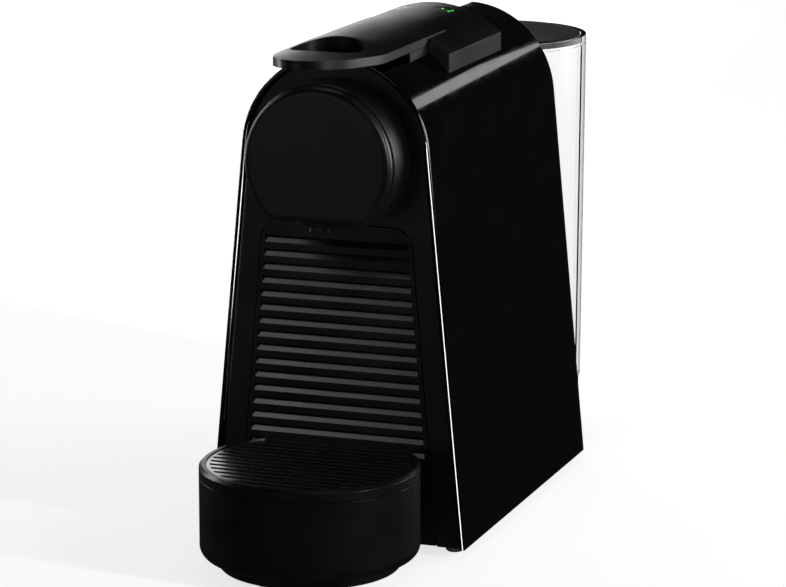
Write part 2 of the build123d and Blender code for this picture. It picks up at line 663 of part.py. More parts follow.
# ---------------------------------------------------------------------------
# Round head: collar, cap and outlet
# ---------------------------------------------------------------------------
def head_face(radius):
    with BuildSketch() as face:
        with Locations((0, HEAD_Z)):
            Circle(radius)
        with Locations((0, HEAD_FLAT_Z + FAR / 2)):
            Rectangle(FAR, FAR, mode=Mode.INTERSECT)
    return face.sketch


COLLAR_HOLLOW_R, COLLAR_BACK_WALL, COLLAR_ROUND = 26.0, 4.0, 1.0
SPOUT_HOLE_R = 12.0
FLAT_WALL = 2.2  # thickness above the flat
NECK_HALF, NECK_FRONT_Y, NECK_REAR_Y, NECK_TOP_Z = 6.0, -105.8, -95.3, 142.0
with BuildPart() as head_collar:
    with BuildSketch(facing(PANEL_FRONT_Y)):
        add(head_face(COLLAR_R))
    extrude(amount=PANEL_FRONT_Y - COLLAR_FRONT_Y)
    fillet(head_collar.faces().sort_by(Axis.Y)[0].edges(), COLLAR_ROUND)
    with BuildSketch(facing(COLLAR_FRONT_Y)):
        add(head_face(COLLAR_HOLLOW_R))
        with Locations((0, HEAD_FLAT_Z)):
            Rectangle(FAR, 2 * FLAT_WALL, mode=Mode.SUBTRACT)
    extrude(amount=COLLAR_FRONT_Y - PANEL_FRONT_Y + COLLAR_BACK_WALL, mode=Mode.SUBTRACT)
    with BuildSketch(facing(PANEL_FRONT_Y)):
        with Locations((0, HEAD_Z)):
            Circle(SPOUT_HOLE_R)
    extrude(amount=FAR, mode=Mode.SUBTRACT)
    with BuildSketch(level(HEAD_FLAT_Z)):
        with Locations((0, NECK_REAR_Y + GAP - FAR / 2)):
            Rectangle(2 * (NECK_HALF + GAP), FAR)
    extrude(amount=NECK_TOP_Z - HEAD_FLAT_Z, mode=Mode.SUBTRACT)
save(head_collar.part, "head_collar")

CAP_ROUND, CAP_REAR_ROUND, CAP_WALL, CAP_HOLLOW = 3.0, 0.8, 2.5, 2.0
SPIGOT_R, SPIGOT_WALL, SPIGOT_REACH, SPIGOT_CUT_Z = 24.0, 2.0, 3.5, 144.0
with BuildPart() as head_cap:
    with BuildSketch(facing(CAP_BACK_Y)):
        add(head_face(CAP_R))
    extrude(amount=CAP_BACK_Y - CAP_FRONT_Y)
    fillet(head_cap.faces().sort_by(Axis.Y)[0].edges(), CAP_ROUND)
    fillet(head_cap.faces().sort_by(Axis.Y)[-1].edges(), CAP_REAR_ROUND)
    with BuildSketch(facing(CAP_BACK_Y)):
        add(head_face(CAP_R - CAP_WALL))
        with Locations((0, HEAD_FLAT_Z)):
            Rectangle(FAR, 2 * FLAT_WALL, mode=Mode.SUBTRACT)
    extrude(amount=CAP_HOLLOW, mode=Mode.SUBTRACT)
    with BuildSketch(facing(CAP_BACK_Y + SPIGOT_REACH)):
        with Locations((0, HEAD_Z)):
            Circle(SPIGOT_R)
            Circle(SPIGOT_R - SPIGOT_WALL, mode=Mode.SUBTRACT)
        with Locations((0, SPIGOT_CUT_Z - FAR / 2)):
            Rectangle(FAR, FAR, mode=Mode.SUBTRACT)
    extrude(amount=SPIGOT_REACH + CAP_HOLLOW + 0.3)
save(head_cap.part, "head_cap")

OUTLET_Z, OUTLET_TOP_Z, OUTLET_HALF, OUTLET_ROUND = 135.0, HEAD_FLAT_Z - 0.1, 14.0, 1.2
OUTLET_BACK_Y, OUTLET_FRONT_Y = PANEL_FRONT_Y - 1.0, -108.0
NOZZLE_Z, NOZZLE_Y, NOZZLE_W, NOZZLE_D = 133.35, -104.5, 9.4, 6.4
SPOUT_Y, SPOUT_W, SPOUT_D = -103.6, 6.4, 3.4
with BuildPart() as coffee_outlet:
    with BuildSketch(level(OUTLET_Z)):
        with BuildLine():
            ThreePointArc((-OUTLET_HALF, OUTLET_BACK_Y), (0, OUTLET_FRONT_Y), (OUTLET_HALF, OUTLET_BACK_Y))
            Line((OUTLET_HALF, OUTLET_BACK_Y), (-OUTLET_HALF, OUTLET_BACK_Y))
        make_face()
    extrude(amount=OUTLET_TOP_Z - OUTLET_Z)
    fillet(coffee_outlet.faces().sort_by(Axis.Z)[0].edges(), OUTLET_ROUND)
    with BuildSketch(level(NOZZLE_Z)):
        with Locations((0, NOZZLE_Y)):
            SlotOverall(NOZZLE_W, NOZZLE_D)
        with Locations((0, (OUTLET_BACK_Y + OUTLET_FRONT_Y) / 2)):
            Rectangle(FAR, OUTLET_BACK_Y - OUTLET_FRONT_Y, mode=Mode.INTERSECT)
    extrude(amount=OUTLET_TOP_Z - NOZZLE_Z)
    with BuildSketch(level(OUTLET_Z + 1)):
        with Locations((0, (NECK_FRONT_Y + NECK_REAR_Y) / 2)):
            Rectangle(2 * NECK_HALF, NECK_REAR_Y - NECK_FRONT_Y)
    extrude(amount=NECK_TOP_Z - OUTLET_Z - 1)
    with BuildSketch(level(NOZZLE_Z)):
        with Locations((0, SPOUT_Y)):
            SlotOverall(SPOUT_W, SPOUT_D)
    extrude(amount=FAR, mode=Mode.SUBTRACT)
save(coffee_outlet.part, "coffee_outlet")

# ---------------------------------------------------------------------------
# Drawer: capsule container and drip base, with the lift-out cup grid
# ---------------------------------------------------------------------------
RIB_FACE_Y = PANEL_FRONT_Y - 0.4
BIN_HALF, BIN_FRONT_Y, BIN_REAR_Y = 31.2, -85.0, -24.0
BIN_FLOOR_Z, BIN_TOP_Z, BIN_WALL = 31.0, 124.0, 1.8

with BuildPart() as capsule_container:
    with BuildSketch(facing(BIN_FRONT_Y)):
        add(bay_face(0.4, SEAM_Z + 0.5, BAY_TOP_Z - 0.4))
    extrude(amount=BIN_FRONT_Y - RIB_FACE_Y)
    for i in range(RIB_COUNT):
        rib_z = RIB_TOP_Z - i * RIB_PITCH
        half = BAY_HALF_TOP + BAY_SLOPE * (BAY_SLOPE_Z - rib_z) - 1.9
        with BuildSketch(aside(-half)):
            with BuildLine():
                Polyline(
                    (RIB_FACE_Y - 1, rib_z),
                    (RIB_FACE_Y + RIB_DEPTH, rib_z - 0.4),
                    (RIB_FACE_Y - 1, rib_z - RIB_PITCH + 1.0),
                    close=True,
                )
            make_face()
        extrude(amount=2 * half, mode=Mode.SUBTRACT)
    with BuildSketch(level(BIN_FLOOR_Z)):
        with Locations((0, (BIN_FRONT_Y + BIN_REAR_Y) / 2)):
            Rectangle(2 * BIN_HALF, BIN_REAR_Y - BIN_FRONT_Y)
    extrude(amount=BIN_TOP_Z - BIN_FLOOR_Z)
    with BuildSketch(level(BIN_FLOOR_Z + BIN_WALL)):
        with Locations((0, (BIN_FRONT_Y + BIN_REAR_Y) / 2)):
            Rectangle(2 * (BIN_HALF - BIN_WALL), BIN_REAR_Y - BIN_FRONT_Y - 2 * BIN_WALL)
    extrude(amount=FAR, mode=Mode.SUBTRACT)
save(capsule_container.part, "capsule_container")

SLED_HALF, SLED_Z, SLED_TOP_Z, SLED_WALL = 38.0, 4.2, 29.5, 2.0
SKIRT_BACK_Y = PANEL_FRONT_Y + 2.2
DRUM_ROUND, DRUM_WALL, DRUM_FLOOR_T, PLINTH_CHAMFER = 4.6, 2.4, 2.5, 0.5
with BuildPart() as drip_base:
    with BuildSketch(level(DRUM_FOOT_Z)):
        add(drum_face(DRUM_R, SKIRT_BACK_Y - 1))
    extrude(amount=SEAM_Z - DRUM_FOOT_Z)
    fillet(drip_base.faces().sort_by(Axis.Z)[0].edges().filter_by(GeomType.CIRCLE), DRUM_ROUND)
    with BuildSketch(facing(SKIRT_BACK_Y)):
        add(bay_face(0.4, SLED_Z, SEAM_Z + 0.2))
    extrude(amount=SKIRT_BACK_Y - RIB_FACE_Y)
    with BuildSketch(level(PLINTH_Z)):
        add(drum_face(PLINTH_R, SKIRT_BACK_Y - 1))
    extrude(amount=DRUM_FOOT_Z - PLINTH_Z + 1)
    chamfer(drip_base.faces().sort_by(Axis.Z)[0].edges(), PLINTH_CHAMFER)
    with BuildSketch(level(SLED_Z)):
        with Locations((0, (SKIRT_BACK_Y + BIN_REAR_Y) / 2)):
            Rectangle(2 * SLED_HALF, BIN_REAR_Y - SKIRT_BACK_Y)
    extrude(amount=SLED_TOP_Z - SLED_Z)
    with BuildSketch(level(SLED_Z + SLED_WALL)):
        with Locations((0, (SKIRT_BACK_Y + BIN_REAR_Y) / 2)):
            Rectangle(2 * (SLED_HALF - SLED_WALL), BIN_REAR_Y - SKIRT_BACK_Y - 2 * SLED_WALL)
    extrude(amount=SEAM_Z - SLED_Z - SLED_WALL, mode=Mode.SUBTRACT)
    with BuildSketch(level(DRUM_FOOT_Z + DRUM_FLOOR_T)):
        add(drum_face(DRUM_R - DRUM_WALL, PANEL_FRONT_Y - DRUM_WALL))
    extrude(amount=FAR, mode=Mode.SUBTRACT)
save(drip_base.part, "drip_base")

DRIP_FOOT_Y, DRIP_FOOT_W, DRIP_FOOT_D = -148.0, 20.0, 5.0
with BuildPart() as drip_foot:
    with BuildSketch(level(0)):
        with Locations((0, DRIP_FOOT_Y)):
            SlotOverall(DRIP_FOOT_W, DRIP_FOOT_D)
    extrude(amount=PLINTH_Z)
save(drip_foot.part, "drip_foot")

TRAY_R, TRAY_BACK_Y = DRUM_R - DRUM_WALL - GAP, PANEL_FRONT_Y - DRUM_WALL - GAP
TRAY_Z, TRAY_WALL, TRAY_DROP = DRUM_FOOT_Z + DRUM_FLOOR_T + 0.1, 1.5, 0.6
with BuildPart() as drip_tray:
    with BuildSketch(level(TRAY_Z)):
        add(drum_face(TRAY_R, TRAY_BACK_Y))
    extrude(amount=SEAM_Z - TRAY_DROP - TRAY_Z)
    with BuildSketch(level(TRAY_Z + TRAY_WALL)):
        add(drum_face(TRAY_R - TRAY_WALL, TRAY_BACK_Y - TRAY_WALL))
    extrude(amount=FAR, mode=Mode.SUBTRACT)
save(drip_tray.part, "drip_tray")

RING_BACK_Y = RIB_FACE_Y - 0.3
RING_CHAMFER, RING_FOOT_Z, RING_BACK_WALL = 1.2, SEAM_Z + 0.25, 1.6
with BuildPart() as grid_ring:
    with BuildSketch(level(RING_FOOT_Z)):
        add(drum_face(DRUM_R, RING_BACK_Y))
    extrude(amount=RING_TOP_Z - RING_FOOT_Z)
    chamfer(grid_ring.faces().sort_by(Axis.Z)[-1].edges().filter_by(GeomType.CIRCLE), RING_CHAMFER)
    with BuildSketch(level(SEAM_Z)):
        add(drum_face(RING_BORE_R, RING_BACK_Y - RING_BACK_WALL))
    extrude(amount=FAR, mode=Mode.SUBTRACT)
save(grid_ring.part, "grid_ring")

GRID_R, GRID_BACK_Y, GRID_RIM = RING_BORE_R - 0.02, RING_BACK_Y - RING_BACK_WALL - 0.02, 1.6
SLAT_COUNT, MID_BAR_W = 18, 2.0
with BuildPart() as cup_grid:
    with BuildSketch(level(RING_FOOT_Z)):
        add(drum_face(GRID_R, GRID_BACK_Y))
    extrude(amount=SLAT_TOP_Z - RING_FOOT_Z)
    with BuildSketch(level(SEAM_Z)):
        with Locations((0, DRUM_Y + SLAT_PITCH / 2)):
            with GridLocations(0, SLAT_PITCH, 1, SLAT_COUNT):
                Rectangle(FAR, SLAT_GAP)
        add(drum_face(GRID_R - GRID_RIM, GRID_BACK_Y - GRID_RIM), mode=Mode.INTERSECT)
        Rectangle(MID_BAR_W, FAR, mode=Mode.SUBTRACT)
    extrude(amount=FAR, mode=Mode.SUBTRACT)
save(cup_grid.part, "cup_grid")

# ---------------------------------------------------------------------------
# Water tank and its seat
# ---------------------------------------------------------------------------
SEAT_R, SEAT_FLOOR_Z, SEAT_RIM_Z = 38.2, 20.8, 24.0
SEAT_RIM_T, SEAT_WALL, SEAT_CORNER, SEAT_ROUND = 1.8, 2.5, 4.0, 0.6
SEAL_R, SEAL_BORE_R, SEAL_H, SOCKET_DEPTH = 5.95, 3.7, 3.6, 6.0
TUBE_HOLE_R = 3.4

with BuildPart() as tank_base:
    with BuildSketch(level(FOOT_Z)):
        add(seat_face(SEAT_R, PANEL_REAR_Y + 0.1, SEAT_CORNER))
    extrude(amount=SEAT_RIM_Z - FOOT_Z)
    fillet(tank_base.faces().sort_by(Axis.Z)[-1].edges(), SEAT_ROUND)
    with BuildSketch(level(SEAT_FLOOR_Z)):
        add(tank_face(SEAT_R - SEAT_RIM_T))
    extrude(amount=FAR, mode=Mode.SUBTRACT)
    with BuildSketch(level(FOOT_Z + SEAT_WALL - 0.5)):
        add(seat_face(SEAT_R - SEAT_WALL, PANEL_REAR_Y + 0.1 + SEAT_WALL, SEAT_CORNER - 1))
    extrude(amount=SEAT_FLOOR_Z - FOOT_Z - SOCKET_DEPTH, mode=Mode.SUBTRACT)
    with BuildSketch(level(SEAT_FLOOR_Z - SOCKET_DEPTH)):
        with Locations((0, VALVE_Y)):
            Circle(SEAL_R + 0.05)
    extrude(amount=FAR, mode=Mode.SUBTRACT)
    with BuildSketch(facing(PANEL_REAR_Y + 2 * SEAT_WALL)):
        with Locations((SUCTION_X, SUCTION_Z)):
            Circle(TUBE_HOLE_R)
    extrude(amount=FAR, mode=Mode.SUBTRACT)
save(tank_base.part, "tank_base")

with BuildPart() as tank_seal:
    with BuildSketch(level(SEAT_FLOOR_Z - SEAL_H - GAP)):
        with Locations((0, VALVE_Y)):
            Circle(SEAL_R)
            Circle(SEAL_BORE_R, mode=Mode.SUBTRACT)
    extrude(amount=SEAL_H)
save(tank_seal.part, "tank_seal")

LEDGE_Z, LEDGE_T, LEDGE_W = 179.2, 1.2, 1.2  # inner ledge that the lid rests on
TANK_ROUND, TANK_FLOOR_T, VALVE_HOLE_R = 2.2, 1.6, 5.0
with BuildPart() as water_tank:
    with BuildSketch(level(TANK_FOOT_Z)):
        add(tank_face(TANK_R))
    extrude(amount=TANK_RIM_Z - TANK_FOOT_Z, taper=-TANK_DRAFT)
    fillet(water_tank.faces().sort_by(Axis.Z)[0].edges(), TANK_ROUND)
    with BuildSketch(level(SEAT_FLOOR_Z + 0.4)):
        add(tank_face(SEAT_R - SEAT_RIM_T - 2 * GAP))
    extrude(amount=TANK_FOOT_Z - SEAT_FLOOR_Z)
    with BuildSketch(level(TANK_FOOT_Z + TANK_FLOOR_T)):
        add(tank_face(TANK_R - TANK_WALL))
    extrude(amount=TANK_RIM_Z - TANK_FOOT_Z, taper=-TANK_DRAFT, mode=Mode.SUBTRACT)
    with BuildSketch(level(LEDGE_Z - LEDGE_T)):
        add(tank_face(RIM_R - TANK_WALL / 2))
        add(tank_face(RIM_R - TANK_WALL - LEDGE_W), mode=Mode.SUBTRACT)
    extrude(amount=LEDGE_T)
    with BuildSketch(level(SEAT_FLOOR_Z)):
        with Locations((0, VALVE_Y)):
            Circle(VALVE_HOLE_R)
    extrude(amount=2 * VALVE_HOLE_R, mode=Mode.SUBTRACT)
save(water_tank.part, "water_tank")

VALVE_Z, VALVE_PLATE_R, VALVE_PLATE_T = TANK_FOOT_Z + TANK_FLOOR_T + GAP, 7.5, 2.0
VALVE_STEM_R, VALVE_STEM_Z, VALVE_TIP_R, VALVE_TIP_H = 2.4, SEAT_FLOOR_Z - 1, 2.0, 4.0
with BuildPart() as tank_valve:
    with BuildSketch(level(VALVE_Z)):
        with Locations((0, VALVE_Y)):
            Circle(VALVE_PLATE_R)
    extrude(amount=VALVE_PLATE_T)
    with BuildSketch(level(VALVE_STEM_Z)):
        with Locations((0, VALVE_Y)):
            Circle(VALVE_STEM_R)
    extrude(amount=VALVE_Z + 0.1 - VALVE_STEM_Z)
    with BuildSketch(level(VALVE_Z + VALVE_PLATE_T)):
        with Locations((0, VALVE_Y)):
            Circle(VALVE_TIP_R)
    extrude(amount=VALVE_TIP_H)
save(tank_valve.part, "tank_valve")

LID_CLEAR, LID_TOP_Z, LID_PLATE, LID_ROUND = 0.35, 182.5, 1.6, 0.5
LID_R = RIM_R - TANK_WALL - LID_CLEAR
with BuildPart() as tank_lid:
    with BuildSketch(level(LEDGE_Z + 0.05)):
        add(tank_face(LID_R))
    extrude(amount=LID_TOP_Z - LEDGE_Z - 0.05)
    fillet(tank_lid.faces().sort_by(Axis.Z)[-1].edges(), LID_ROUND)
    with BuildSketch(level(LID_TOP_Z - LID_PLATE)):
        add(tank_face(LID_R - LID_PLATE))
    extrude(amount=-FAR, mode=Mode.SUBTRACT)
save(tank_lid.part, "tank_lid")

# ---------------------------------------------------------------------------
# Buttons and their board
# ---------------------------------------------------------------------------
BOARD_Z, BOARD_T, BOARD_W, BOARD_D = 188.0, 1.6, 46.0, 20.0
PLUG_W, PLUG_D, PLUG_H = 10.0, 6.0, 3.0
SWITCH_OFFSET, SWITCH_W, SWITCH_H, KEY_R, SWITCH_TOP_Z = 3.4, 5.0, 1.8, 1.5, 193.0
BUTTON_FOOT_Z = SWITCH_TOP_Z + BUTTON_TRAVEL + 0.2
FLANGE_Z, FLANGE_T, FLANGE_LIP = 199.0, 1.4, 1.2
BLANK_H = 20.0  # taller than a button, before the crown trims it
with BuildPart() as button_board:
    with BuildSketch(level(BOARD_Z)):
        with Locations((0, BUTTON_Y - 1)):
            Rectangle(BOARD_W, BOARD_D)
    extrude(amount=BOARD_T)
    with BuildSketch(level(BOARD_Z - PLUG_H)):
        with Locations((0, BUTTON_Y - 3)):
            Rectangle(PLUG_W, PLUG_D)
    extrude(amount=PLUG_H)
save(button_board.part, "button_board")

with BuildPart() as button_switches:
    with BuildSketch(level(BOARD_Z + BOARD_T)):
        with Locations((BUTTON_X + SWITCH_OFFSET, BUTTON_Y)):
            Rectangle(SWITCH_W, SWITCH_W)
    extrude(amount=SWITCH_H)
    with BuildSketch(level(BOARD_Z + BOARD_T + SWITCH_H)):
        with Locations((BUTTON_X + SWITCH_OFFSET, BUTTON_Y)):
            Circle(KEY_R)
    extrude(amount=SWITCH_TOP_Z - BOARD_Z - BOARD_T - SWITCH_H)
    mirror(about=Plane.YZ)
save(button_switches.part, "button_switches")

LIGHT_R, LIGHT_FOOT_Z = 0.65, BUTTON_FOOT_Z + 0.5
LIGHTS = ((-2.7, 0.2), (0.9, 2.3), (0.5, -1.3))  # from the right button's centre, mirrored on the left
with BuildPart() as crown:
    with BuildSketch(facing(SADDLE_REAR_Y)):
        with Locations((0, ARCH_Z)):
            Circle(CROWN_R - 0.1)
    extrude(amount=SADDLE_REAR_Y - SADDLE_FRONT_Y)
for side, name in ((-1, "espresso"), (1, "lungo")):
    light_places = [(side * (BUTTON_X + x), BUTTON_Y + y) for x, y in LIGHTS]
    with BuildPart() as button:
        with BuildSketch(level(BUTTON_FOOT_Z)):
            with Locations((side * BUTTON_X, BUTTON_Y)):
                add(lens_face(0))
        extrude(amount=BLANK_H)
        with BuildSketch(level(FLANGE_Z)):
            with Locations((side * BUTTON_X, BUTTON_Y)):
                add(lens_face(FLANGE_LIP))
        extrude(amount=FLANGE_T)
        add(crown.part, mode=Mode.INTERSECT)
        with BuildSketch(level(BUTTON_FOOT_Z)):
            with Locations(*light_places):
                Circle(LIGHT_R)
        extrude(amount=BLANK_H, mode=Mode.SUBTRACT)
    save(button.part, f"{name}_button")
    with BuildPart() as light:
        with BuildSketch(level(LIGHT_FOOT_Z)):
            with Locations(*light_places):
                Circle(LIGHT_R - 0.02)
        extrude(amount=BLANK_H)
        add(crown.part, mode=Mode.INTERSECT)
    save(light.part, f"{name}_light")

# ---------------------------------------------------------------------------
# Water and electrical parts
# ---------------------------------------------------------------------------
PUMP_FOOT_Z, PUMP_NECK_Z, PUMP_HEAD_Z, PUMP_TOP_Z = 20.0, 72.0, 100.0, 108.0
PUMP_R, PUMP_NECK_R, PUMP_PORT_R = 17.5, 9.5, 3.0
PUMP_INLET_Z, TUBE_R = 30.0, 2.6
with BuildPart() as pump:
    for low_z, high_z, radius in (
        (PUMP_FOOT_Z, PUMP_NECK_Z, PUMP_R),
        (PUMP_NECK_Z, PUMP_HEAD_Z, PUMP_NECK_R),
        (PUMP_HEAD_Z, PUMP_TOP_Z, PUMP_PORT_R),
    ):
        with BuildSketch(level(low_z)):
            with Locations((PUMP_X, PUMP_Y)):
                Circle(radius)
        extrude(amount=high_z - low_z)
    with BuildSketch(facing(PUMP_Y + 22)):
        with Locations((PUMP_X, PUMP_INLET_Z)):
            Circle(TUBE_R)
    extrude(amount=8)
save(pump.part, "pump")

COIL_Z, COIL_H, COIL_W, COIL_D, COIL_ROUND = 34.0, 30.0, 42.0, 40.0, 3.0
with BuildPart() as pump_coil:
    with BuildSketch(level(COIL_Z)):
        with Locations((PUMP_X, PUMP_Y)):
            RectangleRounded(COIL_W, COIL_D, COIL_ROUND)
            Circle(PUMP_R + BORE_CLEAR, mode=Mode.SUBTRACT)
    extrude(amount=COIL_H)
save(pump_coil.part, "pump_coil")

DAMPER_R, DAMPER_Z, DAMPER_H = 13.0, 76.0, 6.0
DAMPER_FOOT_Z = PLATE_Z + PLATE_H + PUMP_BOSS_H
with BuildPart() as pump_dampers:
    with BuildSketch(level(DAMPER_FOOT_Z)):
        with Locations((PUMP_X, PUMP_Y)):
            Circle(PUMP_BOSS_R)
    extrude(amount=PUMP_FOOT_Z - DAMPER_FOOT_Z)
    with BuildSketch(level(DAMPER_Z)):
        with Locations((PUMP_X, PUMP_Y)):
            Circle(DAMPER_R)
            Circle(PUMP_NECK_R + BORE_CLEAR, mode=Mode.SUBTRACT)
    extrude(amount=DAMPER_H)
save(pump_dampers.part, "pump_dampers")

METER_Y, METER_R, METER_H, METER_SPOUT = 58.5, 11.5, 12.0, 4.0
METER_TOP_Z, METER_INLET_Y = PLATE_Z + PLATE_H + METER_H, METER_Y + 13.0
with BuildPart() as flow_meter:
    with BuildSketch(level(PLATE_Z + PLATE_H)):
        with Locations((SUCTION_X, METER_Y)):
            Circle(METER_R)
    extrude(amount=METER_H)
    with BuildSketch(level(METER_TOP_Z)):
        with Locations((SUCTION_X, METER_Y)):
            Circle(TUBE_R)
    extrude(amount=METER_SPOUT)
    with BuildSketch(facing(METER_INLET_Y)):
        with Locations((SUCTION_X, SUCTION_Z)):
            Circle(TUBE_R)
    extrude(amount=METER_SPOUT)
save(flow_meter.part, "flow_meter")

HEATER_X, HEATER_Y, HEATER_Z, HEATER_R, HEATER_HALF_T = 23.0, 28.0, 60.0, 30.0, 14.0
HEATER_LEG_Y, HEATER_LEG_W, HEATER_LEG_Z = 16.0, 8.0, 22.0
INLET_Z, HOSE_Y, HOSE_Z, PORT_R = 96.0, HEATER_Y + 14.0, 94.0, 3.6
with BuildPart() as thermoblock:
    with BuildSketch(aside(HEATER_X - HEATER_HALF_T)):
        with Locations((HEATER_Y, HEATER_Z)):
            Circle(HEATER_R)
        with Locations((HEATER_Y - HEATER_LEG_Y, HEATER_LEG_Z), (HEATER_Y + HEATER_LEG_Y, HEATER_LEG_Z)):
            Rectangle(HEATER_LEG_W, 2 * (HEATER_LEG_Z - PLATE_Z - PLATE_H))
    extrude(amount=2 * HEATER_HALF_T)
    for y, high_z in ((HEATER_Y, INLET_Z), (HOSE_Y, HOSE_Z)):
        with BuildSketch(level(HEATER_Z)):
            with Locations((HEATER_X, y)):
                Circle(PORT_R)
        extrude(amount=high_z - HEATER_Z)
save(thermoblock.part, "thermoblock")

FUSE_Z, FUSE_R, FUSE_T = HEATER_Z + 8.0, 7.0, 5.0
with BuildPart() as thermal_fuse:
    with BuildSketch(aside(HEATER_X + HEATER_HALF_T + 0.05)):
        with Locations((HEATER_Y, FUSE_Z)):
            Circle(FUSE_R)
    extrude(amount=FUSE_T)
save(thermal_fuse.part, "thermal_fuse")

CONTROL_Y, CONTROL_W, CONTROL_H, CONTROL_HOLE_R = 67.0, 62.0, 44.0, 1.5
COMPONENT_H = 9.0
with BuildPart() as control_board:
    with BuildSketch(facing(CONTROL_Y)):
        with Locations((0, CONTROL_Z)):
            Rectangle(CONTROL_W, CONTROL_H)
            with GridLocations(POST_PITCH_X, POST_PITCH_Z, 2, 2):
                Circle(CONTROL_HOLE_R, mode=Mode.SUBTRACT)
    extrude(amount=BOARD_T)
    # transformer, relay and capacitor
    with BuildSketch(facing(CONTROL_Y - BOARD_T)):
        with Locations((-14, CONTROL_Z + 6)):
            Rectangle(18, 14)
        with Locations((14, CONTROL_Z - 8)):
            Rectangle(14, 18)
        with Locations((8, CONTROL_Z + 10)):
            Circle(5)
    extrude(amount=COMPONENT_H)
save(control_board.part, "control_board")

BRIDGE_Z = 118.0  # the pressure tube's crossing above the pump and the heater
TUBES = {
    "suction_tube": (
        (0, VALVE_Y, SEAT_FLOOR_Z - 4),
        (0, VALVE_Y, SUCTION_Z),
        (SUCTION_X, VALVE_Y, SUCTION_Z),
        (SUCTION_X, METER_INLET_Y + 0.1, SUCTION_Z),
    ),
    "pump_tube": (
        (SUCTION_X, METER_Y, METER_TOP_Z + METER_SPOUT + 0.1),
        (SUCTION_X, METER_Y, PUMP_INLET_Z),
        (SUCTION_X, PUMP_Y + 22.1, PUMP_INLET_Z),
    ),
    "pressure_tube": (
        (PUMP_X, PUMP_Y, PUMP_TOP_Z + 0.1),
        (PUMP_X, PUMP_Y, BRIDGE_Z),
        (HEATER_X, HEATER_Y, BRIDGE_Z),
        (HEATER_X, HEATER_Y, INLET_Z + 0.1),
    ),
    "brew_hose": (
        (HEATER_X, HOSE_Y, HOSE_Z + 0.1),
        (HEATER_X, HOSE_Y, 132),
        (0, HEATER_Y + 8, HEAD_Z),
        (0, CAGE_REAR_Y + 5.1, HEAD_Z),
    ),
}
BENDS = {"suction_tube": 5.5, "pump_tube": 6.0, "pressure_tube": 8.0, "brew_hose": 12.0}
for name, points in TUBES.items():
    save(tube(points, BENDS[name], TUBE_R), name)

BASE_SCREWS = ((-46, -30), (46, -30), (-46, 40), (46, 40))
BASE_SCREW_T = 0.85
with BuildPart() as base_screws:
    with BuildSketch(level(PLATE_Z - 0.05 - BASE_SCREW_T)):
        with Locations(*BASE_SCREWS):
            Circle(SCREW_HEAD_R)
    extrude(amount=BASE_SCREW_T)
save(base_screws.part, "base_screws")
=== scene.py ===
from math import cos, pi, radians, sin

import bpy
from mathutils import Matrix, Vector

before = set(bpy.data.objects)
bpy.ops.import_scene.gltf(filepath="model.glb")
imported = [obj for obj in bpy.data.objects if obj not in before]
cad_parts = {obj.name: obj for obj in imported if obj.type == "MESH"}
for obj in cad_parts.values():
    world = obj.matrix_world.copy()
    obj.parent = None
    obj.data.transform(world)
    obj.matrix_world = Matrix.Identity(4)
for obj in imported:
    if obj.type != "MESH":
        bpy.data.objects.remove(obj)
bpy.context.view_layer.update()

MM = 0.001
PALE = (0.93, 0.93, 0.92)  # floor and backdrop
DIM = (0.008, 0.008, 0.0084)  # what the black parts mirror instead of the backdrop
FLOOR_HALF = 6  # metres from the machine to the floor's edge

# ---------------------------------------------------------------------------
# Camera, light and floor
# ---------------------------------------------------------------------------
CAMERA_AT = Vector((0.4837, -1.3603, 0.4079))
CAMERA_AZIMUTH, CAMERA_ELEVATION = radians(19.82), radians(12.53)
LENS_MM = 160.16
AIM_Z = 0.12  # height of the machine that the lights point at


def add_camera():
    """Long lens from in front, to the machine's right and a little above."""
    data = bpy.data.cameras.new("camera")
    data.lens = LENS_MM
    data.clip_end = 50
    camera = bpy.data.objects.new("camera", data)
    level = cos(CAMERA_ELEVATION)
    ahead = Vector((-sin(CAMERA_AZIMUTH) * level, cos(CAMERA_AZIMUTH) * level, -sin(CAMERA_ELEVATION)))
    camera.location = CAMERA_AT
    camera.rotation_mode = "QUATERNION"
    camera.rotation_quaternion = ahead.to_track_quat("-Z", "Y")
    bpy.context.scene.collection.objects.link(camera)
    bpy.context.scene.camera = camera


def softbox(name, azimuth, elevation, distance, width, height, radiance, only=()):
    """Rectangular studio light, aimed at the machine's middle. It lights everything, or only the named nodes.

    Azimuth is in degrees clockwise from straight behind the machine.
    """
    turn, rise = radians(azimuth), radians(elevation)
    aim = Vector((0, 0, AIM_Z))
    at = aim + distance * Vector((sin(turn) * cos(rise), cos(turn) * cos(rise), sin(rise)))
    data = bpy.data.lights.new(name, "AREA")
    data.shape = "RECTANGLE"
    data.size, data.size_y = width, height
    data.energy = radiance * pi * width * height
    light = bpy.data.objects.new(name, data)
    light.location = at
    light.rotation_mode = "QUATERNION"
    light.rotation_quaternion = (aim - at).to_track_quat("-Z", "Y")
    bpy.context.scene.collection.objects.link(light)
    if only:
        lit = bpy.data.collections.new(f"{name}_receivers")
        for node_name in only:
            lit.objects.link(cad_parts[node_name])
        light.light_linking.receiver_collection = lit


